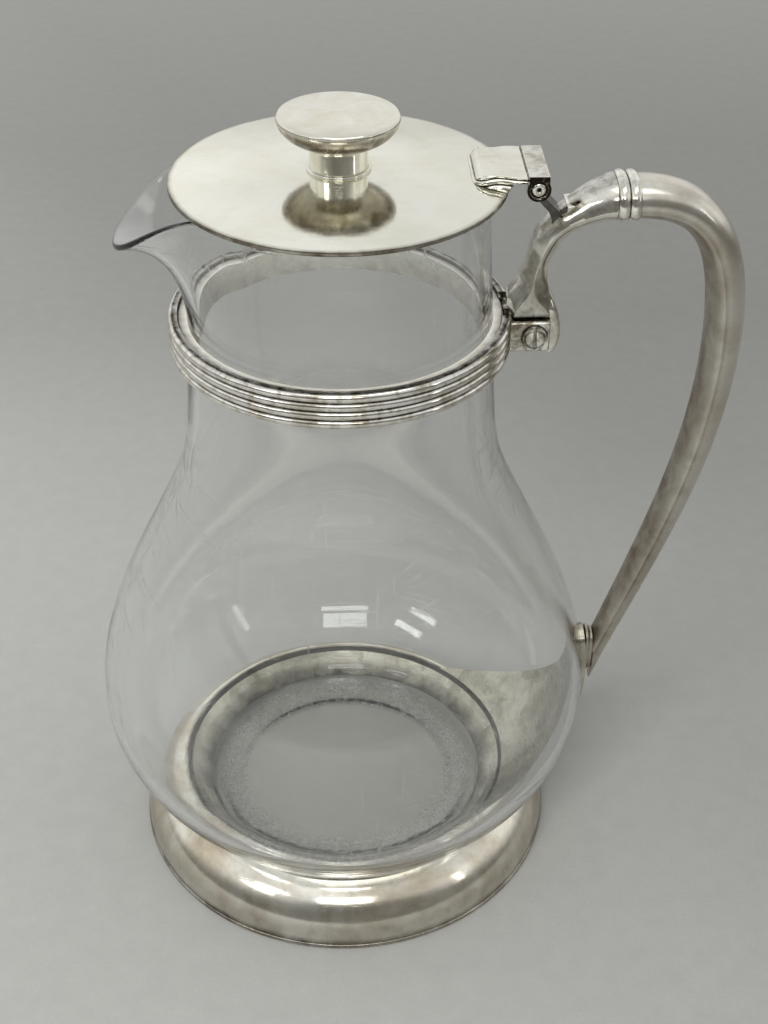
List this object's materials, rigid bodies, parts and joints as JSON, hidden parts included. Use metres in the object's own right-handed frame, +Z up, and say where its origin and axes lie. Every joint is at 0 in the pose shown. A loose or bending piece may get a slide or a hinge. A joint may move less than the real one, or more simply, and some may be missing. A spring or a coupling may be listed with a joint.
{
  "type": "claret jug",
  "caption": "Pear-shaped glass claret jug with a pulled spout, a silver-plated foot, reeded collar and scroll handle, and a hinged flat lid with a mushroom knob.",
  "frame": {"origin": "centre of the foot's underside, on the table", "axes": "+Z up along the jug's axis, +X towards the handle, the spout on -X"},
  "size_m": [0.2009, 0.1628, 0.2602],
  "materials": {
    "glass": "clear, polished",
    "silver": "worn silver plate",
    "dark": "tarnished"
  },
  "bodies": {
    "jug": {"glass_body": "glass", "foot_ring": "silver", "foot_wire": "silver", "foot_seat": "silver", "back_strap": "silver", "handle_lug": "silver", "grip_outer": "silver", "grip_inner": "silver", "handle_ring": "silver", "handle_bracket": "silver", "hinge_tongue": "dark", "collar_band": "silver", "collar_sleeve": "silver", "collar_ear_front": "silver", "collar_ear_rear": "silver", "clamp_screw": "silver"},
    "lid": {"lid_disc": "silver", "hinge_plate": "silver", "hinge_knuckle": "silver", "hinge_pin": "dark", "knob": "silver", "knob_ring": "silver", "knob_screw": "silver"}
  },
  "joints": [
    {"name": "lid_hinge", "type": "hinge", "parent": "jug", "child": "lid", "pos_m": [0.0544, 0, 0.24216], "axis": [0, 1, 0], "range_deg": [0, 100]}
  ]
}
